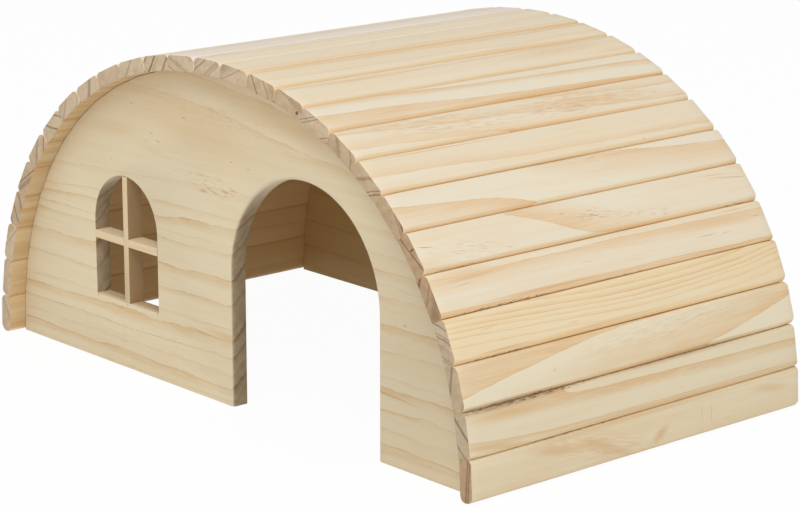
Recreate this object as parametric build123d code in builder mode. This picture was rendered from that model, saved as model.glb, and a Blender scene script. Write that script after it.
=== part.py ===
"""Arched wooden house for a small pet: two arched walls under a roof of narrow slats.

Millimetres, +Z up. The front wall faces -Y and +X is to the right of someone facing it.
The origin is on the ground, under the middle of the house.
"""

from build123d import *
from bisect import bisect_left
from math import atan2, copysign, cos, dist, isclose, pi, sin, sqrt
import os

os.makedirs("parts", exist_ok=True)

# The arch that the slats are laid round, measured on their inner faces
arch_width = 270.0
arch_height = 125.0
arch_fullness = 2.1  # 2 is half an ellipse, and more is squarer at the shoulders

# Roof slats
slat_count = 27
slat_length = 165.0
slat_thickness = 6.2
slat_seam_gap = 0.25
slat_outer_radius = 2.6
slat_inner_radius = 0.4

# Walls
wall_thickness = 6.6
front_overhang = 7.5
back_overhang = 5.0

# Doorway in the front wall, open at the bottom
door_width = 82.0
door_height = 92.6
door_centre_x = 44.1
door_edge_radius = 1.6

# Window in the front wall
window_width = 40.3
window_height = 50.0
window_centre_x = -62.7
window_sill_height = 26.2

# Cross of two halved bars in the window, as deep as the wall
upright_bar_width = 3.0
cross_bar_width = 3.0
cross_bar_rise = 24.0  # from the sill to the middle of the bar
bar_clearance = 0.05  # glue line at the bar ends and in the halving

front_end_y = -slat_length / 2
back_end_y = slat_length / 2
front_face = Plane.XZ.offset(-(front_end_y + front_overhang))
middle_of_front_wall = front_face.offset(-wall_thickness / 2)
back_face = Plane.XZ.offset(-(back_end_y - back_overhang))


def arch_point(turn):
    """Point (x, z) on the arch, from the left foot at turn 0 to the right foot at turn 1."""
    across, up = -cos(pi * turn), sin(pi * turn)
    power = 2 / arch_fullness
    x = copysign(abs(across) ** power, across) * arch_width / 2
    z = abs(up) ** power * arch_height
    return x, z


def arch_seams(steps=20000):
    """Points that divide the arch into one flat seat for each slat, and the length of a seat."""
    points = [arch_point(step / steps) for step in range(steps + 1)]
    run = [0.0]
    for here, there in zip(points, points[1:]):
        run.append(run[-1] + dist(here, there))
    pitch = run[-1] / slat_count
    inner = []
    for seam in range(1, slat_count):
        step = bisect_left(run, seam * pitch)
        (x_before, z_before), (x_after, z_after) = points[step - 1 : step + 1]
        share = (seam * pitch - run[step - 1]) / (run[step] - run[step - 1])
        inner.append((x_before + share * (x_after - x_before), z_before + share * (z_after - z_before)))
    return [(-arch_width / 2, 0.0), *inner, (arch_width / 2, 0.0)], pitch


seams, slat_pitch = arch_seams()
slat_width = slat_pitch - slat_seam_gap


def cut_arched_opening(width, height, centre_x, sill):
    """Cut a round-headed opening from the sketch in hand."""
    spring = height - width / 2
    with Locations((centre_x, sill)):
        Rectangle(width, spring, align=(Align.CENTER, Align.MIN), mode=Mode.SUBTRACT)
    with Locations((centre_x, sill + spring)):
        Circle(width / 2, mode=Mode.SUBTRACT)


def is_door_edge(edge):
    """True for the jambs and the round head of the doorway."""
    middle = edge.center()
    off_centre = abs(middle.X - door_centre_x)
    on_jamb = isclose(off_centre, door_width / 2, abs_tol=0.01)
    on_head = off_centre < 0.01 and isclose(middle.Z, door_height, abs_tol=0.01)
    return on_jamb or on_head


def finish(piece, name):
    """Name a finished piece and write it out."""
    piece.part.label = name
    export_step(piece.part, f"parts/{name}.step")


# Front wall, with flat seats for the slats round its edge
with BuildPart() as front_wall:
    with BuildSketch(front_face):
        with BuildLine():
            Polyline(*seams, close=True)
        make_face()
        cut_arched_opening(door_width, door_height, door_centre_x, 0)
        cut_arched_opening(window_width, window_height, window_centre_x, window_sill_height)
    extrude(amount=-wall_thickness)
    front_edges = front_wall.faces().sort_by(Axis.Y)[0].edges()
    fillet(front_edges.filter_by(is_door_edge), door_edge_radius)
finish(front_wall, "front_wall")

# Back wall, with the same outline and no opening
with BuildPart() as back_wall:
    with BuildSketch(back_face):
        with BuildLine():
            Polyline(*seams, close=True)
        make_face()
    extrude(amount=wall_thickness)
finish(back_wall, "back_wall")

# Upright bar of the window, from the sill to the arched head, halved at its back
cross_bar_z = window_sill_height + cross_bar_rise
window_radius = window_width / 2
window_spring_z = window_sill_height + window_height - window_radius
upright_top_z = window_spring_z + sqrt(window_radius**2 - (upright_bar_width / 2) ** 2) - bar_clearance
upright_foot_z = window_sill_height + bar_clearance
with BuildPart() as window_upright_bar:
    with BuildSketch(front_face):
        with Locations((window_centre_x, upright_foot_z)):
            upright_length = upright_top_z - upright_foot_z
            Rectangle(upright_bar_width, upright_length, align=(Align.CENTER, Align.MIN))
    extrude(amount=-wall_thickness)
    with BuildSketch(middle_of_front_wall):
        with Locations((window_centre_x, cross_bar_z)):
            Rectangle(upright_bar_width, cross_bar_width + 2 * bar_clearance)
    extrude(amount=-wall_thickness / 2, mode=Mode.SUBTRACT)
finish(window_upright_bar, "window_upright_bar")

# Cross bar of the window, from jamb to jamb, halved at its front
with BuildPart() as window_cross_bar:
    with BuildSketch(front_face):
        with Locations((window_centre_x, cross_bar_z)):
            Rectangle(window_width - 2 * bar_clearance, cross_bar_width)
    extrude(amount=-wall_thickness)
    with BuildSketch(front_face):
        with Locations((window_centre_x, cross_bar_z)):
            Rectangle(upright_bar_width + 2 * bar_clearance, cross_bar_width)
    extrude(amount=-(wall_thickness / 2 + bar_clearance), mode=Mode.SUBTRACT)
finish(window_cross_bar, "window_cross_bar")

# Roof slats, from the left foot over the crown to the right foot, each flat on its seat
for number, (start, end) in enumerate(zip(seams, seams[1:]), start=1):
    slope = atan2(end[1] - start[1], end[0] - start[0])
    slat_end = Plane(
        origin=((start[0] + end[0]) / 2, front_end_y, (start[1] + end[1]) / 2),
        x_dir=(cos(slope), 0, sin(slope)),
        z_dir=(0, -1, 0),
    )
    with BuildPart() as slat:
        with BuildSketch(slat_end) as slat_profile:
            Rectangle(slat_width, slat_thickness, align=(Align.CENTER, Align.MIN))
            inner_corners, outer_corners = slat_profile.vertices().group_by(Axis.Y)
            fillet(outer_corners, slat_outer_radius)
            fillet(inner_corners, slat_inner_radius)
        extrude(amount=-slat_length)
    finish(slat, f"slat_{number:02d}")

print(f"slat pitch {slat_pitch:.3f} mm, slat width {slat_width:.3f} mm")
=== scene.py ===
"""Finish of the arched wooden small-pet house: planed pine walls and a roof of rounded pine slats.

The slats and walls are modelled at the place of the solid that they stand for, and the window
bars keep their own solids. Lengths are in metres, and the values that a pattern uses are in
millimetres or in shares of the piece, as their comments say.
"""

import bpy
import math
from mathutils import Matrix, Vector


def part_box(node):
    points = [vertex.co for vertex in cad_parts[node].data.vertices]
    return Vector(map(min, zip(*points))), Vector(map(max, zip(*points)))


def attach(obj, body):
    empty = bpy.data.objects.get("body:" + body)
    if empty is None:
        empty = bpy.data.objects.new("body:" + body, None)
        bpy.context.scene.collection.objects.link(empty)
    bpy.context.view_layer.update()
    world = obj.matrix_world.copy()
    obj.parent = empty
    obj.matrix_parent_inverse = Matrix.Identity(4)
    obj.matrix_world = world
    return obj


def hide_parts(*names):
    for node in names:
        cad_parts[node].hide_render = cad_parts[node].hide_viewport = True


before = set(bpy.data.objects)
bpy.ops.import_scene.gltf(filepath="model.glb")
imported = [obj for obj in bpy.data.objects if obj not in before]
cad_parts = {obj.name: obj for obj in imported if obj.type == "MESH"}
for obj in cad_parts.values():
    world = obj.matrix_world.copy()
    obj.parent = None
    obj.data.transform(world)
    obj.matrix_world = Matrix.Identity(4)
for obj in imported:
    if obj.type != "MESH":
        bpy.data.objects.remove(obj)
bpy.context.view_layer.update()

MM = 0.001

# Shapes of the slats
SLAT_SEAM = -0.04 * MM  # the glue pulls the inner edges together
SIDE_LEAN = 0.92  # share of the way to a mitred joint that a slat's side leans
INNER_ROUND = 0.45 * MM
END_SOFTENING = 0.3 * MM
WORN_PROFILE = 0.42  # a little flatter than a quarter circle
CROWN_SIDE_WEAR = 0.75  # share of the corner rounding that is left away from the ends
FOOT_SIDE_WEAR = 0.5
WORN_REACH = 9 * MM  # length of the rounder corner at each end
CORNER_REACH = 1.3  # size of a corner, in radii of its rounding
OUTER_STEPS, INNER_STEPS, END_STEPS = 6, 3, 2
CUTS_ALONG = 40
SLAT_CROWN = 0.35 * MM
PLANING_WAVE = 0.16 * MM
PLANING_WAVE_LENGTH = 34 * MM
END_SHORTFALLS = (0.1 * MM, 0.35 * MM, 0.0, 0.25 * MM, 0.15 * MM, 0.45 * MM, 0.05 * MM)
BACK_SHORTFALL = 1.5  # back ends are less even than front ones

# Shapes of the walls
GLUE_LINE = 0.15 * MM
DOOR_EDGE_ROUND = 1.6 * MM
DOOR_EDGE_STEPS = 5
ARRIS = 0.25 * MM
ARRIS_TURN = math.radians(50)  # only sharper corners are broken
ARCH_STEPS = 96
CUTTER_REACH = 20 * MM

SMOOTH_TURN = math.radians(35)  # sharper corners stay sharp
SAME_PLACE = 1e-6
DOOR_MARGIN = 1e-5
UP, RIGHT, FRONTWARDS = Vector((0, 0, 1)), Vector((1, 0, 0)), Vector((0, -1, 0))

# Bare pine, as sRGB: pale and warm early wood, tan late wood with its darker edge, and end grain
CREAM = dict(
    pale=(0.953, 0.905, 0.807), warm=(0.948, 0.863, 0.722), tan=(0.926, 0.787, 0.608),
    late=(0.890, 0.715, 0.510), end=(0.830, 0.750, 0.632), end_brown=(0.700, 0.575, 0.432),
    ring=(0.410, 0.250, 0.155),
)
ROSE = dict(CREAM, pale=(0.957, 0.913, 0.858), warm=(0.950, 0.872, 0.775), tan=(0.915, 0.800, 0.675))
GREY_ENDS = dict(CREAM, end=(0.812, 0.752, 0.645), end_brown=(0.680, 0.580, 0.445))
HONEY = dict(GREY_ENDS, pale=(0.962, 0.890, 0.745), warm=(0.952, 0.852, 0.675), tan=(0.930, 0.785, 0.590))
STRAW = dict(GREY_ENDS, pale=(0.947, 0.897, 0.782), warm=(0.932, 0.850, 0.700), tan=(0.905, 0.770, 0.580))
# REED and ROOT, for slats 26 and 27, are darker partly as painted shade on these lowest slats on the right,
# which face sideways
REED = dict(GREY_ENDS, pale=(0.925, 0.868, 0.745), warm=(0.905, 0.824, 0.680), tan=(0.878, 0.750, 0.560))
ROOT = dict(CREAM, pale=(0.925, 0.868, 0.745), warm=(0.905, 0.824, 0.680), tan=(0.868, 0.735, 0.545))
WALL = dict(
    pale=(0.897, 0.838, 0.712), warm=(0.880, 0.800, 0.652), tan=(0.842, 0.708, 0.512),
    late=(0.780, 0.632, 0.440), end=(0.705, 0.640, 0.525), end_brown=(0.550, 0.468, 0.352),
    ring=(0.475, 0.350, 0.240),
)
BAR = dict(WALL, pale=(0.908, 0.825, 0.675), warm=(0.885, 0.785, 0.610), tan=(0.850, 0.730, 0.540))
DASH_BROWN = (0.750, 0.510, 0.300)
SAWN_BROWN = (0.600, 0.455, 0.305)
# Painted shade for the upright bar's two sides, and painted light for the cross bar's top and underside
BAR_SIDE_SHADE = (0.672, 0.555, 0.405)
BAR_TOP_LIGHT = (0.975, 0.890, 0.755)
BRUSHED_TAN = (0.855, 0.705, 0.530)
DARK_SPLINTER = (0.340, 0.230, 0.130)

# Tints that darken the grain under them: painted shade in the seams, on each slat's edge nearer its foot,
# on the inner faces under the eave and inside, and in the seams between inner faces, and a tint for the
# grain under the eave
SEAM_SHADE_TINT = (1.000, 0.972, 0.935)
FOOT_SHADE_TINT = (0.990, 0.940, 0.870)
EAVE_SHADE_TINT = (0.893, 0.840, 0.752)
INSIDE_SHADE_TINT = (0.960, 0.893, 0.765)
EAVE_GRAIN = (0.955, 0.915, 0.860)
INNER_SEAM_SHADE = (0.560, 0.430, 0.310)


# ---- places read from the frame

class Seat:
    """Place of a slat: the middle of its inner face, its way across the roof and its way out."""

    def __init__(self, node):
        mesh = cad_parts[node].data
        widest = max(mesh.polygons, key=lambda face: face.area)
        self.out = -widest.normal.normalized()
        self.along = Vector((0, 1, 0))
        self.across = self.along.cross(self.out).normalized()
        places = [vertex.co for vertex in mesh.vertices]
        spread = [place.dot(self.across) for place in places]
        rise = [place.dot(self.out) for place in places]
        run = [place.y for place in places]
        self.width = max(spread) - min(spread)
        self.length = max(run) - min(run)
        self.thickness = max(rise) - min(rise)
        middle_across = (max(spread) + min(spread)) / 2
        middle_along = (max(run) + min(run)) / 2
        self.middle = self.across * middle_across + self.out * min(rise) + self.along * middle_along

    def placing(self):
        """Matrix from a slat lying at the origin, across X and along Y, to this seat."""
        turn = Matrix((self.across, self.along, self.out)).transposed()
        return Matrix.Translation(self.middle) @ turn.to_4x4()


SLATS = sorted(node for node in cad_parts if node.startswith("slat_"))
CROWN = len(SLATS) // 2  # the right side is its less rounded one, and the left edge the one with painted shade
SEATS = {node: Seat(node) for node in SLATS}


# ---- modelling helpers

def start_fresh():
    """Leave edit mode and select nothing."""
    if bpy.context.object and bpy.context.object.mode != "OBJECT":
        bpy.ops.object.mode_set(mode="OBJECT")
    bpy.ops.object.select_all(action="DESELECT")


def pick(piece):
    """Make this the only selected piece."""
    start_fresh()
    piece.select_set(True)
    bpy.context.view_layer.objects.active = piece


def block(name, low, high):
    """A block between two corners, with its place in its mesh."""
    start_fresh()
    middle = (Vector(low) + Vector(high)) / 2
    bpy.ops.mesh.primitive_cube_add(size=1, location=middle, scale=Vector(high) - Vector(low))
    bpy.ops.object.transform_apply(location=True, rotation=True, scale=True)
    piece = bpy.context.object
    piece.name = name
    piece.data.name = name
    return piece


def trim(piece, point, outward):
    """Plane a piece down to a flat surface and close the cut."""
    pick(piece)
    bpy.ops.object.mode_set(mode="EDIT")
    bpy.ops.mesh.select_all(action="SELECT")
    bpy.ops.mesh.bisect(plane_co=point, plane_no=outward, use_fill=True, clear_outer=True)
    leave_edit()


def round_edges(piece, wanted, radius, segments, profile=0.5):
    """Round the edges whose two ends pass the test, or divide them where no radius is given."""
    pick(piece)
    bpy.ops.object.mode_set(mode="EDIT")
    bpy.ops.mesh.select_all(action="DESELECT")
    bpy.ops.mesh.select_mode(type="EDGE")
    bpy.ops.object.mode_set(mode="OBJECT")
    mesh = piece.data
    for edge in mesh.edges:
        a, b = (mesh.vertices[index].co for index in edge.vertices)
        edge.select = wanted(a, b)
    bpy.ops.object.mode_set(mode="EDIT")
    if radius:
        bpy.ops.mesh.bevel(offset=radius, segments=segments, profile=profile)
    else:
        bpy.ops.mesh.subdivide(number_cuts=segments)
    leave_edit()


def leave_edit():
    """Return to object mode."""
    bpy.ops.object.mode_set(mode="OBJECT")


def finish_with(piece, kind, **settings):
    """Add a modifier and apply it."""
    pick(piece)
    modifier = piece.modifiers.new(kind.title(), kind)
    for setting, value in settings.items():
        setattr(modifier, setting, value)
    bpy.ops.object.modifier_apply(modifier=modifier.name)


def cut_away(piece, cutter):
    """Cut one solid out of another and drop the cutter."""
    finish_with(piece, "BOOLEAN", object=cutter, operation="DIFFERENCE", solver="EXACT")
    bpy.data.objects.remove(cutter)


def smooth(piece):
    """Shade rounded edges smooth and keep true corners sharp."""
    pick(piece)
    bpy.ops.object.shade_smooth_by_angle(angle=SMOOTH_TURN)


def put_in_place(piece, node, material):
    """Let a finished piece stand for its solid."""
    piece.data.materials.clear()
    piece.data.materials.append(material)
    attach(piece, "root")
    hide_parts(node)


# ---- wood grain material

SEED_STEPS = (37.0, 91.0, 53.0)  # each seed shows another place in the noise
FIRST_SEED = dict(slats=1.7, front_wall=50.0, back_wall=51.0, bars=60.0)
ROUGHNESS = (0.56, 0.7)
SHINE = 0.35
FIBRE_BUMP = 0.5
FIBRE_DEPTH = 0.05 * MM


class Shader:
    """Nodes of one material or of the surround."""

    def __init__(self, owner):
        owner.use_nodes = True
        self.nodes, self.links = owner.node_tree.nodes, owner.node_tree.links
        self.nodes.clear()

    def make(self, kind, inputs, **settings):
        """A node with its settings, and a value or a link for each input that is named."""
        node = self.nodes.new("ShaderNode" + kind)
        for setting, value in settings.items():
            setattr(node, setting, value)
        for name, value in inputs.items():
            self.feed(node.inputs[name], value)
        return node

    def feed(self, socket, value):
        """Give a socket a value or a link."""
        if isinstance(value, bpy.types.NodeSocket):
            self.links.new(value, socket)
        elif isinstance(value, tuple) and len(value) == 3 and socket.type == "RGBA":
            socket.default_value = (*[linear(part) for part in value], 1)
        else:
            socket.default_value = value

    def math(self, operation, a, b=0.0, clamp=False):
        """One sum of two numbers."""
        return self.make("Math", {0: a, 1: b}, operation=operation, use_clamp=clamp).outputs[0]

    def between(self, value, low, high, start=0.0, end=1.0, kind="SMOOTHSTEP"):
        """0 below low, 1 above high, and smooth between them."""
        inputs = {"Value": value, "From Min": low, "From Max": high, "To Min": start, "To Max": end}
        return self.make("MapRange", inputs, interpolation_type=kind).outputs[0]


class Wood(Shader):
    """Material of one piece of pine, whose rings run through the whole piece."""

    def __init__(self, name, middle, across, along, out):
        self.material = bpy.data.materials.new(name)
        super().__init__(self.material)
        coordinates = self.make("TexCoord", {})
        # Axes of the other hand are turned with the grain pointing back, and then mirrored
        hand = 1 if across.cross(along).dot(out) > 0 else -1
        turn = Matrix((across, hand * along, out)).transposed().to_euler()
        self.place = self.mapping(coordinates.outputs["Object"], middle, turn, (MM, hand * MM, MM))
        self.u, self.y, self.w = self.make("SeparateXYZ", {0: self.place}).outputs
        self.end = self.facing(coordinates.outputs["Normal"], along, 0.45, 0.9)
        self.side = self.facing(coordinates.outputs["Normal"], across, 0.7, 1.0)

    def facing(self, normal, way, start, full):
        """1 where the surface looks one way or the opposite way."""
        node = self.make("VectorMath", {0: normal, 1: way}, operation="DOT_PRODUCT")
        return self.between(self.math("ABSOLUTE", node.outputs["Value"]), start, full)

    def mapping(self, vector, location, rotation, scale):
        """Coordinates centred, turned back and divided by a scale."""
        inputs = {"Vector": vector, "Location": location, "Rotation": rotation, "Scale": scale}
        return self.make("Mapping", inputs, vector_type="TEXTURE").outputs[0]

    def plus(self, a, b):
        """Sum of two numbers."""
        return self.math("ADD", a, b)

    def times(self, *factors):
        """Product of numbers."""
        product = factors[0]
        for factor in factors[1:]:
            product = self.math("MULTIPLY", product, factor)
        return product

    def noise(self, across, along, seed, detail=2.0, turn=0.0):
        """Noise from 0 to 1 that is drawn out along the grain, in lengths across and along it."""
        node = self.make("TexNoise", {"Scale": 1.0, "Detail": detail})
        centre = tuple(seed * step for step in SEED_STEPS)
        stretched = self.mapping(self.place, centre, (0, 0, math.radians(turn)), (across, along, across))
        self.feed(node.inputs["Vector"], stretched)
        return node.outputs["Fac"]

    def ramp(self, value, stops, low=0.0, high=1.0, kind="LINEAR"):
        """A number looked up on a list of (place, number)."""
        node = self.nodes.new("ShaderNodeValToRGB")
        node.color_ramp.interpolation = kind
        if (low, high) != (0.0, 1.0):
            value = self.between(value, low, high, kind="LINEAR")
        self.feed(node.inputs[0], value)
        points = node.color_ramp.elements
        while len(points) < len(stops):
            points.new(0.5)
        while len(points) > len(stops):
            points.remove(points[-1])
        for point, (place, *levels) in zip(points, stops):
            point.position = (place - low) / (high - low)
            point.color = (*levels, 1) if len(levels) == 3 else (*levels, *levels, *levels, 1)
        return node.outputs["Color"]

    def three(self, colour):
        """The three numbers that a colour holds."""
        return self.make("SeparateColor", {0: colour}).outputs[:3]

    def mix(self, share, a, b, blend="MIX"):
        """Colour a turned into colour b by a share."""
        inputs = {"Factor": share, "A": a, "B": b}
        return self.make("Mix", inputs, data_type="RGBA", blend_type=blend).outputs["Result"]

    def tint(self, share, colour, tint):
        """A colour darkened by a tint where the share is 1."""
        return self.mix(share, colour, tint, "MULTIPLY")

    def curve(self, value, points, straight=False):
        """A line through a few points (place, height), smooth or straight from point to point."""
        places, heights = zip(*points)
        low, high = min(heights) - 0.2, max(heights) + 0.2
        node = self.nodes.new("ShaderNodeFloatCurve")
        line = node.mapping.curves[0]
        while len(line.points) < len(points):
            line.points.new(0.5, 0.5)
        for point, (place, height) in zip(line.points, points):
            share = (place - places[0]) / (places[-1] - places[0])
            point.location = (share, (height - low) / (high - low))
            point.handle_type = "VECTOR" if straight else "AUTO"
        node.mapping.update()
        self.feed(node.inputs["Value"], self.between(value, places[0], places[-1], kind="LINEAR"))
        return self.plus(self.times(node.outputs[0], high - low), low)

    def spot(self, centre, size, turn=0.0, core=0.25):
        """1 in the middle of a mark and 0 outside it, in millimetres and degrees."""
        scale = tuple(part / 2 for part in size)
        centred = self.mapping(self.place, centre, (0, 0, math.radians(turn)), scale)
        node = self.make("VectorMath", {0: centred}, operation="LENGTH")
        return self.between(node.outputs["Value"], 1.0, core)


def linear(level):
    """One sRGB level as light."""
    return level / 12.92 if level <= 0.04045 else ((level + 0.055) / 1.055) ** 2.4


LONGEST_RING = 100.0  # millimetres, to hold a ring's width as a share
LONGEST_FADE = 30.0  # the same for its tan wood
LEAN = 30  # degrees, where a figure gives none
INSIDE_FROM, INSIDE_TO = (0.082, 0.088), (0.935, 0.93)  # inner faces of the walls, as shares of a slat

# Width and length of a fleck, noise levels where it starts and is full, and its colour
FLECKS = dict(
    dash=(0.22, 5.5, 0.60, 0.68, DASH_BROWN),
    brush=(0.7, 7.0, 0.42, 0.62, BRUSHED_TAN),
    dark=(0.25, 2.6, 0.52, 0.58, DARK_SPLINTER),
)


def ring_lines(wood, share_along, share_across, width, thickness, figure, seed):
    """Late wood, its dark edge, the same on end grain, and the place where a ring meets the face.

    A figure's line holds points (share of the length, share of the width) on the outer face, and
    its edges hold the dark edges of the rings as (shares of the width from that line, strength,
    width of the tan wood in millimetres). side is 1 where the tan wood is before its edge and -1
    where it is behind it. lean is the slope of the rings through the thickness, in degrees.
    wobble and fray are how far the lines wander and how ragged they are, broken is the share that
    their gaps take away, end_fade is their width on end grain, swings holds shifts of the line
    for a part of the width, and tongue is the share of the width that lines bend back round.
    """
    side = figure.get("side", 1)
    rough = figure.get("wobble", 1)
    depth = wood.plus(wood.w, -thickness)
    slope = -math.tan(math.radians(figure.get("lean", LEAN))) / width
    outside = wood.plus(share_across, wood.times(depth, slope))
    waves = (7, 45, 2.2 * rough), (1.3, 9, 0.6 * rough), (0.7, 4.5, figure.get("fray", 0.25))
    for reach, run, amount in waves:
        wave = wood.plus(wood.noise(reach, run, seed + 0.31 * amount), -0.5)
        outside = wood.plus(outside, wood.times(wave, amount / width))
    line = wood.curve(share_along, figure["line"])
    for points, start, full in figure.get("swings", ()):
        shift = wood.times(wood.curve(share_along, points), wood.between(share_across, start, full))
        line = wood.plus(line, shift)
    if "tongue" in figure:
        centre = wood.plus(outside, -figure["tongue"])
        place = wood.math("SUBTRACT", line, wood.times(centre, centre))
    else:
        place = wood.times(wood.math("SUBTRACT", outside, line), side)

    # Rings are numbered from edge to edge, and a ramp holds the facts of each
    edges = sorted((start * side, strength, fade) for start, strength, fade in figure["edges"])
    places = [edge[0] for edge in edges]
    low = places[0] - edges[0][2] / width - 0.02
    high = places[-1] + 0.05
    steps = [(low, (low - places[0]) / 2), *((start, number) for number, start in enumerate(places))]
    steps.append((high, len(edges) - 1 + (high - places[-1]) / 2))
    rings = wood.curve(place, steps, straight=True)
    spans = [2.0, *(after - before for before, after in zip(places, places[1:])), 2.0]
    facts = [(number - 1.0, span * width / LONGEST_RING) for number, span in enumerate(spans)]
    late_wood = [(strength, fade / LONGEST_FADE) for _, strength, fade in edges]
    facts = [(*fact, *wood_fact) for fact, wood_fact in zip(facts, [*late_wood, (0.0, 0.1)])]
    number = wood.plus(wood.math("FLOOR", rings), 0.5)
    span, strength, fade = wood.three(wood.ramp(number, facts, -1.0, len(edges) + 0.0, "CONSTANT"))
    distance = wood.times(wood.math("SUBTRACT", 1.0, wood.math("FRACT", rings)), span, LONGEST_RING)
    share = wood.math("DIVIDE", distance, wood.times(fade, LONGEST_FADE))
    gaps = wood.between(wood.noise(3.0, 26, seed + 0.91), 0.38, 0.6, 1 - figure.get("broken", 0.25))
    late = wood.ramp(share, [(0.0, 1.0), (0.15, 0.85), (0.5, 0.5), (0.8, 0.2), (1.0, 0.0)])
    late = wood.times(late, strength, gaps)
    edge = wood.times(wood.between(distance, 0.5, 0.1), strength, gaps)
    end_edge = wood.times(wood.between(distance, figure.get("end_fade", 1.3), 0.2), strength)
    return outside, late, edge, end_edge


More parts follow.
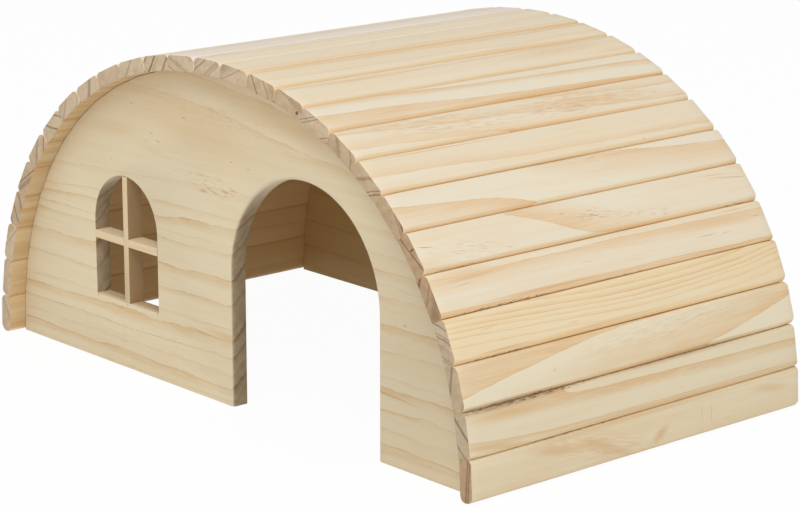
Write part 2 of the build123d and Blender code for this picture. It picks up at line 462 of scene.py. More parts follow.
def pine(name, middle, across, along, out, size, tones, figure, seed):
    """Pine with the ring lines, streaks and marks of one piece.

    Marks and flecks are (kind, share of the length, share of the width, length, width, turn in
    degrees, amount). ends holds lines on the end grain as (share of the width where the line
    meets the outer face, thickness in millimetres, strength), and pips holds dark dots there.
    warmth, streaky and crisp set the early wood, its streaks and the dark edges of the rings,
    end_brown and end_late the end grain. sides is a colour or tint for the sides, painted shade on
    slats and the upright bar and painted light on the cross bar, foot says on which side the slat's
    lower edge is, for its painted shade, and inner which kind of inner face it has, for the painted
    shade on it.
    """
    width, length, thickness = (part / MM for part in size)
    wood = Wood(name, middle, across, along, out)
    share_along = wood.plus(wood.math("DIVIDE", wood.y, length), 0.5)
    share_across = wood.plus(wood.math("DIVIDE", wood.u, width), 0.5)
    rings = ring_lines(wood, share_along, share_across, width, thickness, figure, seed)
    outside, late, edge, end_edge = rings

    def on_face(along, across):
        """A place on the outer face, from its shares of the length and the width."""
        return (across - 0.5) * width, (along - 0.5) * length, thickness

    # Early wood goes between pale and warm
    streaks = wood.noise(0.55, 26, seed + 0.57, 3.0)
    warmth = figure.get("warmth", 0.3)
    bands = (wood.noise(2.2, 110, seed + 0.63), 1.1), (wood.noise(8, 60, seed + 0.83), 1.3)
    for band, amount in (*bands, (streaks, 0.8 * figure.get("streaky", 1))):
        warmth = wood.plus(warmth, wood.times(wood.plus(band, -0.5), amount))
    face = wood.mix(wood.between(warmth, 0.0, 1.0, kind="LINEAR"), tones["pale"], tones["warm"])
    fine = wood.between(streaks, 0.35, 0.7, 0.75, 1.1)
    face = wood.mix(wood.math("MULTIPLY", late, fine, clamp=True), face, tones["tan"])
    face = wood.mix(wood.times(edge, figure.get("crisp", 0.45)), face, tones["late"])

    # Resin dashes, clouds, rough places and darker patches, as a colour and the share of the mark that it
    # fills
    kinds = dict(
        dash=(DASH_BROWN, 0.25),
        cloud=(tones["tan"], 0.0),
        warm=(tones["late"], 0.1),
        sawn=(SAWN_BROWN, 0.0),
        dull=(tones["end"], 0.0),
    )
    for kind, *place, mark_length, mark_width, turn, amount in figure.get("marks", ()):
        colour, core = kinds[kind]
        mark = wood.spot(on_face(*place), (mark_width, mark_length, 8.0), turn, core)
        face = wood.mix(wood.times(mark, amount), face, colour)
    stray = wood.between(wood.noise(0.28, 6.0, seed + 0.11, 1.0), 0.7, 0.78)
    where = wood.between(wood.noise(8, 40, seed + 0.19, 1.0), 0.52, 0.64)
    face = wood.mix(wood.times(stray, where, 0.3), face, DASH_BROWN)
    for kind, *place, field_length, field_width, turn, amount in figure.get("flecks", ()):
        reach, run, low, high, colour = FLECKS[kind]
        field = wood.spot(on_face(*place), (field_width, field_length, 6.0), turn, 0.4)
        fleck = wood.between(wood.noise(reach, run, seed + place[0], 1.0, turn), low, high)
        face = wood.mix(wood.times(field, fleck, amount), face, colour)

    # Painted shade on the sides down in a seam and on the upright bar's sides, painted light on the cross
    # bar's top and underside, painted shade on the edge nearer the foot, and painted shade on the inner
    # face under the eave and inside
    if "sides" in figure:
        face = wood.mix(wood.side, face, *figure["sides"])
    # Painted shade on the slat's edge nearer its foot, which faces down
    if "foot" in figure:
        towards_foot = wood.times(wood.plus(share_across, -0.5), figure["foot"])
        face = wood.tint(wood.between(towards_foot, 0.41, 0.47), face, FOOT_SHADE_TINT)
    inner = figure.get("inner")
    if inner == "slat":
        # Painted shade on the inner face, under the eave and inside the house
        under = wood.between(wood.w, 0.4, 0.1)
        past_front = wood.between(share_along, *INSIDE_FROM)
        inside = wood.times(past_front, wood.between(share_along, *INSIDE_TO))
        face = wood.tint(under, face, wood.mix(inside, EAVE_SHADE_TINT, INSIDE_SHADE_TINT))
        grain = wood.between(wood.noise(3.2, 80, seed + 0.23), 0.38, 0.7)
        out_of_house = wood.math("SUBTRACT", 1.0, wood.times(inside, 0.8))
        face = wood.tint(wood.times(under, grain, out_of_house), face, EAVE_GRAIN)
        # Painted shade in the seams between the inner faces
        seam = wood.times(wood.side, wood.between(wood.w, 1.0, 0.4))
        face = wood.tint(seam, face, INNER_SEAM_SHADE)
    elif inner == "back wall":
        # Painted shade on the back wall's inner face, inside the house
        face = wood.tint(wood.between(wood.w, thickness - 0.3, thickness - 0.05), face, INSIDE_SHADE_TINT)

    # End grain is browner, with the late wood as dark lines
    blotches = wood.plus(wood.noise(3.0, 20.0, seed + 0.41), -0.5)
    brown = wood.math("ADD", wood.times(blotches, 1.2), figure.get("end_brown", 0.2), clamp=True)
    end_wood = wood.mix(brown, tones["end"], tones["end_brown"])
    pores = wood.noise(0.5, 3.0, seed + 0.43, 3.0)
    end_wood = wood.mix(wood.between(pores, 0.35, 0.75, 0.0, 0.35), end_wood, tones["end_brown"])
    specks = wood.between(wood.noise(0.22, 1.0, seed + 0.47, 1.0), 0.66, 0.76)
    end_wood = wood.mix(wood.times(specks, 0.35), end_wood, tones["ring"])
    end_wood = wood.mix(wood.times(end_edge, figure.get("end_late", 0.0)), end_wood, tones["ring"])
    if "ends" in figure:
        stops = []
        for place, line_thickness, level in sorted(figure["ends"]):
            half = line_thickness / 2 / math.cos(math.radians(figure.get("lean", LEAN))) / width
            start = place - 1.3 * half
            if stops and start <= stops[-1][0]:
                start = stops[-1][0] + 0.001
            stops += [(start, 0.0), (max(place - 0.3 * half, start + 0.002), level)]
            stops += [(max(place + 0.3 * half, start + 0.004), level)]
            stops += [(max(place + 1.3 * half, start + 0.006), 0.0)]
        lines = wood.ramp(outside, stops, stops[0][0] - 0.01, stops[-1][0] + 0.01)
        lines = wood.times(lines, wood.between(pores, 0.2, 0.6, 1.0, 0.7))
        end_wood = wood.mix(lines, end_wood, tones["ring"])
    for across_share, height, mark_width, mark_height, amount in figure.get("pips", ()):
        centre = ((across_share - 0.5) * width, -length / 2, height)
        pip = wood.spot(centre, (mark_width, 3.0, mark_height), 0.0, 0.5)
        end_wood = wood.mix(wood.times(pip, amount), end_wood, DARK_SPLINTER)
    colour = wood.mix(wood.end, face, end_wood)

    fibre = wood.noise(0.3, 12, seed + 0.71, 3.0)
    bump = wood.make("Bump", {"Strength": FIBRE_BUMP, "Distance": FIBRE_DEPTH})
    wood.feed(bump.inputs["Height"], wood.plus(wood.times(fibre, 0.6), wood.times(late, 0.35)))
    surface = wood.make("BsdfPrincipled", {"Base Color": colour, "Specular IOR Level": SHINE})
    wood.feed(surface.inputs["Roughness"], wood.between(streaks, 0.3, 0.7, *ROUGHNESS))
    wood.feed(surface.inputs["Normal"], bump.outputs[0])
    wood.make("OutputMaterial", {"Surface": surface.outputs[0]})
    return wood.material


# ---- roof slats

# Grain of each slat, from the left foot over the crown to the right foot; the higher end_brown on most of
# slats 19 to 27 is partly painted shade on their ends
SLAT_FIGURES = {
    "slat_01": dict(
        line=[(0, 0.9), (1, 1.0)], edges=[(-0.9, 0.5, 3), (0, 0.6, 5)], lean=57, ends=[(1.04, 2.0, 0.35)],
        end_brown=0.25, rounds=(2.4, 2.6),
    ),
    "slat_02": dict(
        line=[(0, 0.8), (1, 0.7)], edges=[(-0.9, 0.4, 3), (0, 0.5, 4)], lean=20, end_brown=0.3,
        rounds=(1.7, 2.4),
    ),
    "slat_03": dict(
        line=[(0, 0.2), (1, 0.3)], edges=[(0, 0.6, 4), (1.0, 0.3, 3)], side=-1, lean=-61,
        ends=[(0.22, 0.35, 0.9), (0.7, 4.0, 0.3)], end_brown=0.0, rounds=(2.2, 2.0),
    ),
    "slat_04": dict(
        line=[(0, 0.56), (1, 0.62)], edges=[(-0.41, 0.6, 3), (0, 0.7, 3), (0.44, 0.6, 3)], lean=41,
        ends=[(0.15, 1.0, 0.75), (0.56, 0.9, 0.8), (1.0, 0.9, 0.85)], end_brown=0.55, rounds=(2.0, 2.2),
    ),
    "slat_05": dict(
        line=[(0, 0.13), (1, 0.3)], edges=[(0, 0.9, 4), (0.7, 0.4, 3)], lean=-65, ends=[(-0.22, 2.2, 0.5),
        (0.11, 0.6, 0.95), (0.83, 0.4, 0.5)], end_brown=0.45, rounds=(1.6, 2.6),
    ),
    "slat_06": dict(
        line=[(0, 0.82), (1, 0.7)], edges=[(-0.5, 0.4, 3), (0, 0.6, 4), (0.48, 0.6, 3)], lean=56,
        ends=[(0.78, 1.4, 0.5), (1.3, 0.9, 0.8)], end_brown=0.25, rounds=(1.8, 2.6),
    ),
    "slat_07": dict(
        line=[(0, 0.2), (1, 0.35)], edges=[(0, 0.9, 4), (0.48, 0.7, 3), (1.0, 0.5, 3)], lean=-44,
        ends=[(0.05, 0.25, 0.35), (0.23, 0.8, 0.9), (0.72, 0.9, 0.75)], end_brown=0.05, rounds=(2.0, 2.4),
    ),
    "slat_08": dict(
        line=[(0, 0.53), (1, 0.6)], edges=[(0, 0.4, 4), (0.7, 0.4, 3)], lean=47, ends=[(0.2, 4.0, 0.15),
        (0.5, 0.9, 0.5), (1.23, 1.0, 0.35)], end_brown=0.05, rounds=(2.0, 2.6),
    ),
    "slat_09": dict(
        line=[(0, 0.75), (1, 0.6)], edges=[(-0.8, 0.4, 3), (0, 0.9, 4)], lean=37, ends=[(0.72, 2.1, 0.65)],
        end_brown=0.0, rounds=(1.8, 2.4),
    ),
    "slat_10": dict(
        line=[(0, 0.9), (1, 1.0)], edges=[(-0.8, 0.3, 3), (0, 0.3, 3)], lean=30, end_brown=0.3,
        rounds=(1.6, 2.2),
    ),
    "slat_11": dict(
        line=[(0, 0.57), (1, 0.45)], edges=[(-0.42, 0.4, 3), (0, 0.6, 3), (0.42, 0.4, 3)], lean=41,
        ends=[(0.56, 0.8, 0.5), (0.95, 0.3, 0.3)], end_brown=0.05, rounds=(1.6, 1.8),
    ),
    "slat_12": dict(
        line=[(0, 0.54), (1, 0.6)], edges=[(-0.35, 0.4, 3), (0, 0.7, 3), (0.54, 0.5, 3)], lean=42,
        ends=[(0.17, 0.8, 0.7), (0.52, 1.0, 0.95), (0.68, 0.4, 0.6), (1.08, 1.2, 0.7)], end_brown=0.15,
        rounds=(2.0, 2.0),
    ),
    "slat_13": dict(
        tones=ROSE, line=[(0, 0.05), (0.35, 0.12), (1, 0.25)], edges=[(0, 0.6, 4), (0.66, 0.2, 3)],
        lean=-63, warmth=0.0, ends=[(-0.55, 0.6, 0.6), (-0.08, 1.6, 0.35), (0.05, 0.4, 0.9),
        (0.71, 0.45, 0.4)], end_brown=0.1, rounds=(1.6, 2.0),
    ),
    "slat_14": dict(
        line=[(0, 0.46), (1, 0.55)], edges=[(-0.4, 0.2, 3), (0, 0.2, 4), (0.5, 0.3, 4)], lean=53,
        warmth=0.3, marks=[("warm", 0.06, 0.2, 30, 2.4, 0, 0.5)], ends=[(0.2, 3.0, 0.2), (0.457, 0.5, 0.85),
        (0.904, 0.32, 0.85), (0.986, 0.32, 0.85), (1.08, 0.32, 0.75)], end_brown=0.05, rounds=(2.4, 2.4),
    ),
    "slat_15": dict(
        line=[(0, 0.78), (0.3, 0.84), (1, 0.9)], edges=[(0, 0.8, 2), (0.25, 0.7, 4)], lean=62, warmth=0.5,
        marks=[("dash", 0.42, 0.17, 1.8, 0.6, 20, 0.7), ("warm", 0.14, 0.86, 60, 0.7, 1, 0.5)],
        ends=[(0.3, 5.2, 0.35), (0.80, 0.45, 0.75)], end_brown=0.1, rounds=(2.0, 2.2),
    ),
    "slat_16": dict(
        line=[(0, 0.11), (0.5, 0.19), (1, 0.22)], edges=[(-0.02, 0.8, 3), (0.45, 0.5, 1.5)], lean=-38,
        warmth=0.45, marks=[("dash", 0.84, 0.1, 2.5, 0.5, 35, 0.5), ("cloud", 0.75, 0.75, 50, 2, 2, 0.5),
        ("cloud", 0.62, 0.9, 110, 3, 0, 0.5)], ends=[(0.108, 0.7, 0.95), (0.53, 0.5, 0.75),
        (0.8, 3.6, 0.3)], end_brown=0.35, rounds=(1.8, 1.8),
    ),
    "slat_17": dict(
        line=[(0, 0.08), (0.4, 0.13), (0.7, 0.1), (1, 0.05)], edges=[(0, 0.7, 2)], lean=-77, warmth=0.42,
        marks=[("warm", 0.8, 0.09, 48, 0.6, 0, 0.8), ("dash", 0.75, 0.37, 2.4, 0.9, 15, 0.45),
        ("cloud", 0.8, 0.35, 80, 10, 1, 0.5), ("cloud", 0.2, 0.25, 60, 3, -1, 0.6),
        ("cloud", 0.95, 0.8, 40, 4, 0, 0.5)], ends=[(0.02, 0.4, 0.7), (0.28, 1.6, 0.3), (0.6, 0.8, 0.3)],
        pips=[(0.85, 2.0, 2.0, 2.0, 0.85)], end_brown=0.5, rounds=(2.0, 2.4),
    ),
    "slat_18": dict(
        line=[(0, 0.475), (0.23, 0.57), (0.34, 0.67), (0.45, 0.78), (0.68, 0.88), (1, 1.05)],
        swings=[([(0, 0.13), (0.25, 0.12), (0.45, 0.02), (0.68, 0.03), (1, -0.06)], 0.45, 0.3)],
        edges=[(-0.60, 1.0, 3.4), (0, 1.0, 15)], side=-1, lean=51, warmth=-0.05,
        marks=[("cloud", 0.3, 0.12, 70, 2.2, -4, 0.7), ("warm", 0.8, 0.30, 60, 0.8, -1.5, 0.6)],
        ends=[(0.45, 0.34, 0.9), (0.57, 0.34, 0.9), (1.28, 0.4, 0.8), (1.42, 0.25, 0.6), (1.53, 0.25, 0.6)],
        end_brown=0.2, rounds=(1.6, 2.4),
    ),
    "slat_19": dict(
        line=[(0, 0.18), (0.5, 0.5), (1, 0.85)], edges=[(-0.45, 0.8, 3), (0, 0.7, 4), (0.5, 0.7, 5)],
        lean=-37, wobble=1.6, streaky=2.6, warmth=0.35, marks=[("dash", 0.352, 0.43, 1.6, 0.7, 20, 0.7),
        ("cloud", 0.7, 0.45, 90, 8, -3, 0.7), ("warm", 0.56, 0.6, 22, 0.8, -4, 0.6),
        ("warm", 0.64, 0.72, 16, 1.0, -3, 0.7), ("warm", 0.97, 0.85, 10, 0.8, 4, 0.6)],
        flecks=[("dash", 0.62, 0.65, 50, 7, -4, 0.5), ("dash", 0.5, 0.3, 60, 5, -4, 0.3),
        ("brush", 0.3, 0.4, 90, 14, -5, 0.35), ("brush", 0.72, 0.5, 90, 14, -4, 0.4)],
        ends=[(0.2, 1.8, 0.45), (0.69, 1.1, 0.5)], end_brown=0.5, rounds=(2.0, 2.6),
    ),
    "slat_20": dict(
        line=[(0, 0.6), (0.25, 0.67), (0.42, 0.78), (1, 0.85)], edges=[(-0.02, 0.75, 4), (0.4, 0.0, 1)],
        lean=42, warmth=0.45, marks=[("warm", 0.22, 0.08, 100, 0.7, -0.3, 0.8),
        ("dash", 0.77, 0.93, 1.2, 0.6, 30, 0.8), ("dash", 0.58, 0.2, 14, 0.35, -2, 0.25)],
        ends=[(0.585, 1.4, 0.55), (0.97, 0.4, 0.9), (1.08, 0.55, 1.0)], end_brown=0.45, rounds=(1.4, 1.8),
    ),
    "slat_21": dict(
        line=[(0, 0.31), (0.19, 0.45), (0.25, 0.53), (0.31, 0.68), (0.38, 0.93), (0.46, 1.2), (0.8, 1.75),
        (1, 1.88)], edges=[(-1.6, 0.9, 12), (0, 1.0, 12)], side=-1, lean=-70, warmth=-0.1,
        ends=[(0.43, 0.4, 0.8), (0.78, 2.6, 0.85)], end_brown=0.65, rounds=(1.8, 2.2),
    ),
    "slat_22": dict(
        line=[(0, -0.6), (0.27, 0.12), (0.36, 0.5), (0.47, 1.0), (1, 2.9)], edges=[(-2.6, 0.3, 8),
        (0, 1.0, 13), (1.75, 0.8, 7)], lean=75, warmth=0.35, marks=[("dash", 0.03, 0.42, 9, 0.5, -8, 0.7),
        ("dash", 0.97, 0.36, 10, 0.4, -8, 0.6), ("warm", 0.93, 0.3, 24, 0.6, -6, 0.8),
        ("warm", 0.9, 0.18, 30, 0.6, -4, 0.6), ("dash", 0.5, 0.5, 4, 0.6, -10, 0.6),
        ("dash", 0.42, 0.33, 4, 0.5, -8, 0.6)], flecks=[("dash", 0.15, 0.7, 50, 8, -7, 0.5),
        ("dash", 0.52, 0.55, 36, 8, -8, 0.6), ("dash", 0.66, 0.75, 50, 5, -7, 0.6),
        ("dark", 0.1, 1.03, 60, 1.2, 0, 0.5), ("dark", 0.92, 1.03, 26, 1.4, 0, 0.7)],
        ends=[(1.15, 0.6, 1.0)], pips=[(0.39, 4.5, 0.9, 3.2, 0.9)], end_brown=0.85, rounds=(1.5, 2.6),
    ),
    "slat_23": dict(
        line=[(0, 0.14), (0.5, 0.12), (1, 0.15)], edges=[(0, 0.8, 6), (0.74, 1.0, 2.4)], side=-1, lean=-48,
        warmth=0.45, streaky=1.8, marks=[("dash", 0.8, 0.57, 14, 0.4, 0, 0.6),
        ("dash", 0.86, 0.6, 7, 0.35, 0, 0.5), ("dash", 0.97, 0.36, 6, 0.45, -3, 0.7),
        ("dash", 0.09, 0.38, 12, 0.35, 3, 0.4), ("warm", 0.12, 0.25, 40, 2.0, 1, 0.6),
        ("cloud", 0.85, 0.3, 70, 6, -1, 0.7), ("warm", 0.9, 0.1, 30, 1.0, 0, 0.5),
        ("dash", 0.43, 0.52, 9, 0.35, 0, 0.35), ("warm", 0.3, 0.89, 78, 2.0, 0, 0.8),
        ("cloud", 0.1, 0.12, 40, 4, 0, 0.6)], flecks=[("dark", 0.18, 1.03, 70, 1.4, 0, 0.9),
        ("dark", 0.5, 1.03, 40, 1.2, 0, 0.5)], ends=[(-0.3, 1.3, 0.95), (0.2, 0.9, 0.5), (0.62, 6.6, 0.55)],
        end_brown=0.85, rounds=(1.9, 1.4),
    ),
    "slat_24": dict(
        tones=HONEY, line=[(0, -0.05), (0.3, 0.1), (0.5, 0.2), (0.62, 0.2), (0.8, 0.13), (1, -0.08)],
        edges=[(0, 0.9, 1.5), (0.17, 1.0, 1.6), (0.30, 1.0, 1.4), (0.41, 0.8, 1.3), (0.55, 0.7, 1.3),
        (0.74, 0.5, 1.5)], lean=40, wobble=0.8, broken=0.4, streaky=1.8, warmth=0.35,
        marks=[("warm", 0.14, 0.92, 36, 1.2, 0, 0.8), ("cloud", 0.4, 0.92, 70, 1.8, 0, 0.9),
        ("dash", 0.11, 0.4, 8, 0.4, 4, 0.35)], flecks=[("dark", 0.12, 1.03, 50, 1.4, 0, 0.9)],
        ends=[(0.29, 0.45, 1.0), (0.52, 0.35, 0.75), (0.6, 0.42, 0.95), (0.8, 0.34, 0.6), (0.87, 0.34, 0.6),
        (1.08, 0.36, 0.75), (1.16, 0.36, 0.75)], end_brown=0.35, rounds=(1.6, 2.4),
    ),
    "slat_25": dict(
        tones=STRAW, line=[(0, 0.68), (0.2, 0.33), (0.4, 0.03), (0.69, -0.33), (1, -0.98)],
        edges=[(0, 1.0, 24), (1.25, 1.0, 15)], lean=-68, warmth=0.0,
        marks=[("dash", 0.71, 0.25, 10, 0.4, 3, 0.4), ("cloud", 0.26, 0.62, 3.0, 1.6, 0, 0.6),
        ("cloud", 0.1, 0.15, 50, 6, 2, 0.5), ("sawn", 0.12, 1.0, 90, 3.0, 0, 0.5),
        ("sawn", 0.7, 1.0, 110, 3.0, 0, 0.35)], flecks=[("dark", 0.16, 1.02, 100, 1.8, 0, 0.8),
        ("brush", 0.6, 0.3, 120, 12, 3, 0.2)], ends=[(-0.42, 1.2, 0.75), (0.64, 0.3, 0.5),
        (0.86, 2.2, 0.5)], end_brown=0.55, rounds=(2.2, 2.6),
    ),
    "slat_26": dict(
        tones=REED, line=[(0, -0.29), (0.15, -0.09), (0.28, 0), (0.38, 0.017), (0.53, 0.0256), (1, 0.0576)],
        edges=[(-0.62, 1.0, 3.4), (0, 1.0, 2.6)], tongue=0.1, lean=53, wobble=0.3, warmth=0.1,
        flecks=[("dark", 0.16, -0.02, 100, 2.6, 0, 0.9), ("dark", 0.6, -0.03, 140, 1.4, 0, 0.7),
        ("brush", 0.5, 0.34, 150, 5, -2, 0.3)], marks=[("cloud", 0.12, 0.2, 60, 7, -2, 1.0),
        ("cloud", 0.06, 0.86, 50, 4, -6, 0.9), ("sawn", 0.1, 0.0, 100, 3.6, 0, 0.6),
        ("sawn", 0.6, 0.0, 140, 2.4, 0, 0.35), ("cloud", 0.6, 0.98, 150, 3.0, 0, 0.5)],
        ends=[(0.636, 1.1, 0.85), (1.24, 1.0, 0.6)], pips=[(0.156, 2.1, 0.6, 0.9, 0.7)], end_brown=0.45,
        rounds=(2.0, 1.6),
    ),
    "slat_27": dict(
        tones=ROOT, line=[(0, 0.2), (0.5, 0.5), (1, 0.3)], edges=[(-1.5, 0.3, 4), (1.2, 0.3, 4)],
        lean=-83.5, streaky=2.2, warmth=0.55, marks=[("cloud", 0.24, 0.3, 40, 6, -9, 0.8),
        ("cloud", 0.36, 0.45, 30, 7, -18, 0.8), ("cloud", 0.42, 0.75, 26, 5, -16, 0.6),
        ("cloud", 0.55, 0.65, 14, 6, 30, 0.9), ("cloud", 0.5, 0.04, 150, 3.0, 0, 0.7),
        ("cloud", 0.9, 0.3, 30, 5, -8, 0.6), ("dash", 0.68, 0.45, 0.8, 9, 4, 0.2),
        ("dash", 0.71, 0.5, 0.8, 10, -4, 0.25)], flecks=[("brush", 0.36, 0.45, 80, 14, -14, 0.35),
        ("dark", 0.3, -0.03, 120, 1.4, 0, 0.7)], ends=[(-1.07, 0.9, 0.75), (-0.49, 0.8, 0.75)],
        end_brown=0.85, rounds=(1.8, 2.4),
    ),
}


def model_slat(number):
    """A slat at the origin, resting on its inner face, with rounded outer edges and softened ends."""
    seat = SEATS[SLATS[number]]
    half_width, half_length = seat.width / 2, seat.length / 2
    front = END_SHORTFALLS[number % 5] - half_length
    back = half_length - BACK_SHORTFALL * END_SHORTFALLS[(3 * number) % 7]
    slat = block("slat", (-seat.width, front, 0), (seat.width, back, seat.thickness))
    at_foot = {-1: number == 0, 1: number == len(SLATS) - 1}
    corners = {}
    for way in (-1, 1):
        lean, reach = 0.0, half_width
        if not at_foot[way]:
            neighbour = SEATS[SLATS[number + way]]
            half_turn = seat.out.angle(neighbour.out) / 2
            lean = SIDE_LEAN * half_turn
            reach = (seat.middle - neighbour.middle).length / 2 / math.cos(half_turn) - SLAT_SEAM / 2
        trim(slat, (way * reach, 0, 0), (way * math.cos(lean), 0, -math.sin(lean)))
        corners[way] = Vector((way * (reach + seat.thickness * math.tan(lean)), 0, seat.thickness))

    def runs_along(way, height):
        """Test for the long edge of one side at one height."""
        def test(a, b):
            level = abs(a.z - height) < SAME_PLACE and abs(b.z - height) < SAME_PLACE
            return level and abs(a.y - b.y) > half_length and a.x * way > 0
        return test

    rounds = dict(zip((-1, 1), SLAT_FIGURES[SLATS[number]]["rounds"]))
    for way, round_mm in rounds.items():
        outer_round = round_mm * MM
        round_edges(slat, runs_along(way, seat.thickness), outer_round, OUTER_STEPS, WORN_PROFILE)
        round_edges(slat, runs_along(way, 0), outer_round if at_foot[way] else INNER_ROUND, INNER_STEPS)
    round_edges(slat, lambda a, b: abs(a.y - b.y) < SAME_PLACE, END_SOFTENING, END_STEPS)
    round_edges(slat, lambda a, b: abs(a.y - b.y) > half_length, 0, CUTS_ALONG)
    foot = 1 if number >= CROWN else -1
    for vertex in slat.data.vertices:
        way = 1 if vertex.co.x > 0 else -1
        from_corner = vertex.co - corners[way]
        from_end = min(half_length - abs(vertex.co.y), WORN_REACH) / WORN_REACH
        corner_reach = CORNER_REACH * rounds[way] * MM
        if max(abs(from_corner.x), abs(from_corner.z)) < corner_reach and not at_foot[way]:
            kept = FOOT_SIDE_WEAR if way == foot else CROWN_SIDE_WEAR
            share = 1 - (1 - kept) * max(from_end, 0)
            vertex.co.x = corners[way].x + from_corner.x * share
            vertex.co.z = corners[way].z + from_corner.z * share
        height = vertex.co.z / seat.thickness
        vertex.co.z -= SLAT_CROWN * height * (vertex.co.x / half_width) ** 2
    planed = slat.vertex_groups.new(name="planed")
    outer = [vertex.index for vertex in slat.data.vertices if vertex.co.z > seat.thickness / 2]
    planed.add(outer, 1.0, "REPLACE")
    return slat


def make_slats():
    """Every slat on its seat, each planed a little differently."""
    planing = bpy.data.textures.new("planing", "CLOUDS")
    planing.noise_scale = PLANING_WAVE_LENGTH
    for number, node in enumerate(SLATS):
        seat = SEATS[node]
        slat = model_slat(number)
        slat.name = "pine_" + node
        slat.data.name = slat.name
        slat.data.transform(seat.placing())
        wave = dict(texture=planing, texture_coords="LOCAL", vertex_group="planed")
        finish_with(slat, "DISPLACE", strength=PLANING_WAVE, mid_level=1.0, **wave)
        smooth(slat)
        foot = 1 if number > CROWN else -1
        # The sides down in the seams get painted shade, the edge nearer the foot painted shade, and the
        # inner face painted shade under the eave and inside
        figure = dict(SLAT_FIGURES[node], sides=(SEAM_SHADE_TINT, "MULTIPLY"), foot=foot, inner="slat")
        size = (seat.width, seat.length, seat.thickness)
        axes = (seat.across, seat.along, seat.out)
        tones = figure.get("tones", CREAM)
        seed = FIRST_SEED["slats"] + number
        material = pine("pine_" + node, seat.middle, *axes, size, tones, figure, seed)
        put_in_place(slat, node, material)


# ---- walls and window bars

DOOR = dict(width=82.0 * MM, height=92.6 * MM, centre=44.1 * MM, sill=0.0)
WINDOW = dict(width=40.3 * MM, height=50.0 * MM, centre=-62.7 * MM, sill=26.2 * MM)

FRONT_FIGURE = dict(
    line=[(0, 0), (1, 0)], edges=[(0.012, 0.35, 1.6), (0.040, 0.5, 1.6), (0.054, 1.0, 2.2),
    (0.094, 0.35, 2.4), (0.146, 0.8, 1.4), (0.202, 1.0, 4.4), (0.236, 0.3, 1.6), (0.31, 0.5, 2.2),
    (0.384, 0.95, 4.2), (0.46, 0.65, 2.4), (0.486, 0.35, 1.4), (0.530, 0.85, 3.4), (0.564, 0.35, 1.8),
    (0.64, 0.3, 3.4), (0.70, 0.1, 4.0), (0.78, 0.15, 5.0), (0.865, 0.5, 7.0), (0.95, 0.5, 6.0)], lean=-45,
    wobble=1.9, fray=0.95, broken=0.45, warmth=0.2, crisp=0.55, streaky=1.3, end_late=0.75, end_fade=3.0,
    end_brown=0.35, swings=[([(0, -0.024), (0.1, -0.02), (0.5, 0), (0.87, 0.022), (1, 0.022)], 0.064, 0.21),
    ([(0, 0.1), (0.315, 0.052), (0.5, 0), (0.722, -0.08), (1, -0.15)], 0.67, 0.83),
    ([(0, -0.03), (0.25, 0.0), (0.6, 0.015), (1, 0.0)], 0.45, 0.55)],
    marks=[("cloud", 0.25, 0.76, 52, 9, -4, 0.4), ("cloud", 0.33, 0.72, 26, 5, 6, 0.3),
    ("cloud", 0.6, 0.9, 130, 14, 9, 0.45), ("cloud", 0.45, 0.8, 130, 34, 6, 0.4),
    # The darker patch on the pier right of the door is painted shade
    ("dull", 0.9, 0.35, 110, 170, 0, 0.36), ("cloud", 0.2, 0.9, 110, 60, 0, 0.12),
    ("cloud", 0.5, 0.21, 40, 5, 2, 0.6), ("warm", 0.44, 0.2, 30, 1.4, 3, 0.6),
    ("dash", 0.195, 0.205, 1.8, 0.7, 0, 0.8), ("dash", 0.268, 0.204, 2.4, 0.6, 0, 0.8),
    ("dash", 0.34, 0.206, 1.4, 0.6, 0, 0.7), ("warm", 0.83, 0.205, 46, 1.2, 3, 0.9),
    ("warm", 0.45, 0.634, 7, 0.8, 4, 0.9), ("warm", 0.478, 0.638, 6, 0.8, 8, 0.9),
    ("warm", 0.5, 0.65, 6, 0.9, 7, 0.9), ("warm", 0.518, 0.66, 6, 0.8, 5, 0.9),
    ("warm", 0.5, 0.636, 5, 0.7, -10, 0.8), ("dash", 0.289, 0.845, 3.0, 0.8, 5, 0.5),
    ("dash", 0.411, 0.84, 3.0, 0.9, 5, 0.6), ("dash", 0.335, 0.768, 3.0, 0.6, 18, 0.6),
    ("dash", 0.35, 0.748, 4.0, 0.7, 14, 0.6), ("dash", 0.322, 0.741, 4.0, 0.6, 14, 0.4),
    ("dash", 0.237, 0.656, 1.4, 0.8, 20, 0.5), ("dash", 0.444, 0.68, 5.0, 0.5, 8, 0.4),
    ("dash", 0.389, 0.672, 4.0, 0.4, 6, 0.4), ("dash", 0.57, 0.874, 2.5, 0.6, 10, 0.4),
    ("dash", 0.637, 0.816, 5.0, 0.4, 12, 0.4), ("dash", 0.515, 0.744, 2.4, 0.8, 5, 0.5),
    ("dash", 0.552, 0.736, 2.4, 0.8, 5, 0.5), ("dash", 0.867, 0.416, 2.6, 0.8, 10, 0.8)],
    flecks=[("dash", 0.45, 0.87, 110, 12, 7, 0.35), ("dash", 0.86, 0.42, 34, 30, 3, 0.25),
    ("dash", 0.47, 0.66, 44, 11, 6, 0.75), ("dash", 0.3, 0.12, 110, 24, 2, 0.2)],
)
BACK_FIGURE = dict(
    line=[(0, 0), (0.5, -0.02), (1, 0)], edges=[(0.02, 0.6, 2), (0.1, 0.7, 3), (0.19, 0.8, 2),
    (0.3, 0.7, 3), (0.41, 0.8, 2), (0.55, 0.6, 3), (0.7, 0.7, 3), (0.83, 0.5, 4), (0.95, 0.6, 4)], lean=-45,
    wobble=1.4, fray=0.9, broken=0.6, warmth=0.4, inner="back wall", end_late=0.8,
)


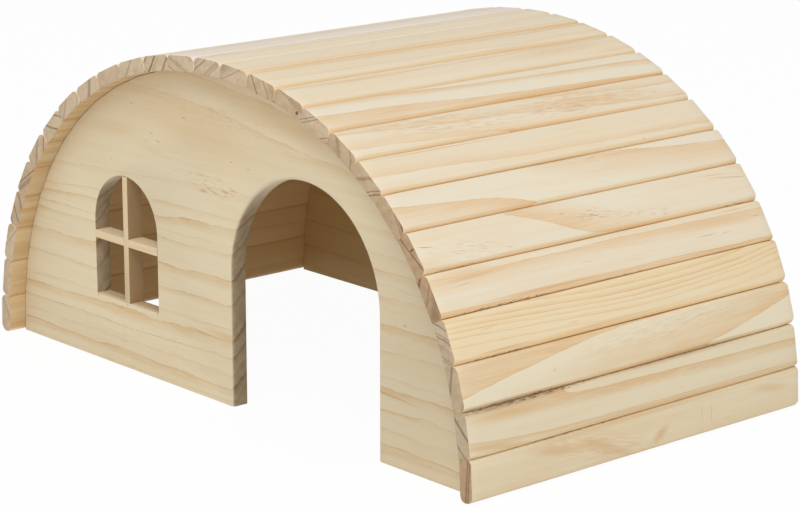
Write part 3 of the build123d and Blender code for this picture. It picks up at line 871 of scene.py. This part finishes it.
def trimmed_board(node, name):
    """A board as thick as its wall, trimmed along every slat's seat."""
    low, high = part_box(node)
    margin = Vector((CUTTER_REACH, 0, 0))
    board = block(name, low - margin, high + margin + Vector((0, 0, CUTTER_REACH)))
    for seat in SEATS.values():
        trim(board, seat.middle - seat.out * GLUE_LINE, seat.out)
    return board


def cut_opening(board, low_y, high_y, width, height, centre, sill):
    """Cut a round-headed opening through a board."""
    radius = width / 2
    spring = sill + height - radius
    foot = sill if sill else -CUTTER_REACH
    start = (centre - radius, low_y - CUTTER_REACH, foot)
    cut_away(board, block("cutter", start, (centre + radius, high_y + CUTTER_REACH, spring)))
    start_fresh()
    bpy.ops.mesh.primitive_cylinder_add(
        vertices=2 * ARCH_STEPS,
        radius=radius,
        depth=high_y - low_y + 2 * CUTTER_REACH,
        location=(centre, (low_y + high_y) / 2, spring),
        rotation=(math.pi / 2, 0, 0),
    )
    bpy.ops.object.transform_apply(location=True, rotation=True, scale=True)
    cut_away(board, bpy.context.object)


def make_walls():
    """Front wall with its two openings, and the plain back wall."""
    front = trimmed_board("front_wall", "pine_front_wall")
    low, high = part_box("front_wall")
    cut_opening(front, low.y, high.y, **DOOR)
    cut_opening(front, low.y, high.y, **WINDOW)
    door_reach = DOOR["width"] / 2 + DOOR_MARGIN
    door_top = DOOR["height"] + DOOR_MARGIN

    def on_door_edge(a, b):
        """Test for the front edge of the doorway, without the floor."""
        flat = all(abs(end.y - low.y) < SAME_PLACE for end in (a, b))
        beside = all(abs(end.x - DOOR["centre"]) < door_reach for end in (a, b))
        below = all(end.z < door_top for end in (a, b))
        return flat and beside and below and not (a.z < SAME_PLACE and b.z < SAME_PLACE)

    round_edges(front, on_door_edge, DOOR_EDGE_ROUND, DOOR_EDGE_STEPS)
    back = trimmed_board("back_wall", "pine_back_wall")
    for wall in (front, back):
        finish_with(wall, "BEVEL", width=ARRIS, segments=2, limit_method="ANGLE", angle_limit=ARRIS_TURN)
        smooth(wall)
    return front, back


def back_middle(low, high):
    """Middle of the back of a box."""
    return Vector(((low.x + high.x) / 2, high.y, (low.z + high.z) / 2))


def wall_pine(node, figure):
    """Pine whose grain runs from side to side."""
    low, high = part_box(node)
    size = (high.z - low.z, high.x - low.x, high.y - low.y)
    axes = (UP, RIGHT, FRONTWARDS)
    return pine("pine_" + node, back_middle(low, high), *axes, size, WALL, figure, FIRST_SEED[node])


def make_bars():
    """The two halved bars of the window cross."""
    for node in ("window_upright_bar", "window_cross_bar"):
        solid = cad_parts[node]
        low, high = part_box(node)
        upright = node == "window_upright_bar"
        across, along = (RIGHT, UP) if upright else (UP, RIGHT)
        extent = high - low
        size = (extent.dot(across), extent.dot(along), extent.y)
        figure = dict(line=[(0, 0.3), (1, 0.6)], edges=[(0, 0.4, 2)], lean=20, warmth=0.2, end_brown=0.4)
        # Painted shade on the upright's sides, painted light on the cross bar's top and underside
        figure["sides"] = (BAR_SIDE_SHADE,) if upright else (BAR_TOP_LIGHT,)
        if upright:
            figure["marks"] = [("dull", 0.1, 0.5, 50, 8, 0, 0.5)]
        axes = (across, along, FRONTWARDS)
        seed = FIRST_SEED["bars"] + upright
        material = pine("pine_" + node, back_middle(low, high), *axes, size, BAR, figure, seed)
        solid.data.materials.clear()
        solid.data.materials.append(material)


# ---- floor, light and camera

FLOOR_SIZE = 8
FLOOR_WHITE = 0.95
FLOOR_GLOW = 0.12  # share of its own light that the lit table gives
FLOOR_SEEN = 0.96  # the same share as the camera sees it
SURROUND_LIGHT = 0.7
SURROUND_SEEN = 1.0
LIT_PLACE = Vector((0, 0, 0.06))

# Direction, distance, size and strength
KEY_LIGHT = ((0.40, -0.45, 0.80), 1.6, 1.0, 0.29)
FRONT_LIGHT = ((0.4, -1.0, 0.12), 1.8, 1.2, 0.09)

CAMERA_AZIMUTH = math.radians(48.79)
CAMERA_ELEVATION = math.radians(14.49)
CAMERA_TARGET = Vector((-0.2 * MM, 9.7 * MM, 43.1 * MM))
CAMERA_DISTANCE = 1.040
LENS, SENSOR_WIDTH = 121.0, 36


def make_floor():
    """Plain white lit table that keeps a faint shadow."""
    start_fresh()
    bpy.ops.mesh.primitive_plane_add(size=FLOOR_SIZE, location=(0, 0, 0))
    floor = bpy.context.object
    floor.name = "floor"
    material = bpy.data.materials.new("white_floor")
    table = Shader(material)
    seen = table.make("LightPath", {}).outputs
    mirrored = table.math("MAXIMUM", seen["Is Glossy Ray"], seen["Is Transmission Ray"])
    either = table.math("MAXIMUM", seen["Is Camera Ray"], mirrored)
    share = table.between(either, 0.0, 1.0, FLOOR_GLOW, FLOOR_SEEN, kind="LINEAR")
    matt = table.make("BsdfDiffuse", {"Color": (FLOOR_WHITE, FLOOR_WHITE, FLOOR_WHITE, 1)})
    bright = table.make("Emission", {"Strength": 1.0})
    blend = table.make("MixShader", {0: share, 1: matt.outputs[0], 2: bright.outputs[0]})
    table.make("OutputMaterial", {"Surface": blend.outputs[0]})
    floor.data.materials.append(material)


def area_light(name, direction, distance, size, strength):
    """A square soft light that points at the house from a direction."""
    light = bpy.data.lights.new(name, "AREA")
    light.size = size
    light.energy = strength * math.pi * distance**2 * 4
    lamp = bpy.data.objects.new(name, light)
    bpy.context.scene.collection.objects.link(lamp)
    away = Vector(direction).normalized()
    lamp.location = LIT_PLACE + away * distance
    lamp.rotation_euler = away.to_track_quat("Z", "Y").to_euler()


def make_light():
    """Soft light from the upper right, a low one from the front, and an even white surround."""
    area_light("key_light", *KEY_LIGHT)
    area_light("front_light", *FRONT_LIGHT)
    world = bpy.data.worlds.new("surround")
    bpy.context.scene.world = world
    around = Shader(world)
    seen = around.make("LightPath", {}).outputs["Is Camera Ray"]
    level = around.between(seen, 0.0, 1.0, SURROUND_LIGHT, SURROUND_SEEN, kind="LINEAR")
    surround = around.make("Background", {"Strength": level})
    around.make("OutputWorld", {"Surface": surround.outputs[0]})


def make_camera():
    """Camera to the right of the doorway, a little above the roof."""
    camera = bpy.data.cameras.new("camera")
    camera.sensor_width = SENSOR_WIDTH
    camera.lens = LENS
    view = bpy.data.objects.new("camera", camera)
    bpy.context.scene.collection.objects.link(view)
    level = Vector((math.sin(CAMERA_AZIMUTH), -math.cos(CAMERA_AZIMUTH), 0)) * math.cos(CAMERA_ELEVATION)
    away = level + Vector((0, 0, math.sin(CAMERA_ELEVATION)))
    view.location = CAMERA_TARGET + away * CAMERA_DISTANCE
    view.rotation_euler = (math.pi / 2 - CAMERA_ELEVATION, 0, CAMERA_AZIMUTH)
    bpy.context.scene.camera = view


make_camera()
bpy.context.scene.view_settings.view_transform = "Standard"

make_slats()
front_wall, back_wall = make_walls()
put_in_place(front_wall, "front_wall", wall_pine("front_wall", FRONT_FIGURE))
put_in_place(back_wall, "back_wall", wall_pine("back_wall", BACK_FIGURE))
make_bars()
make_floor()
make_light()
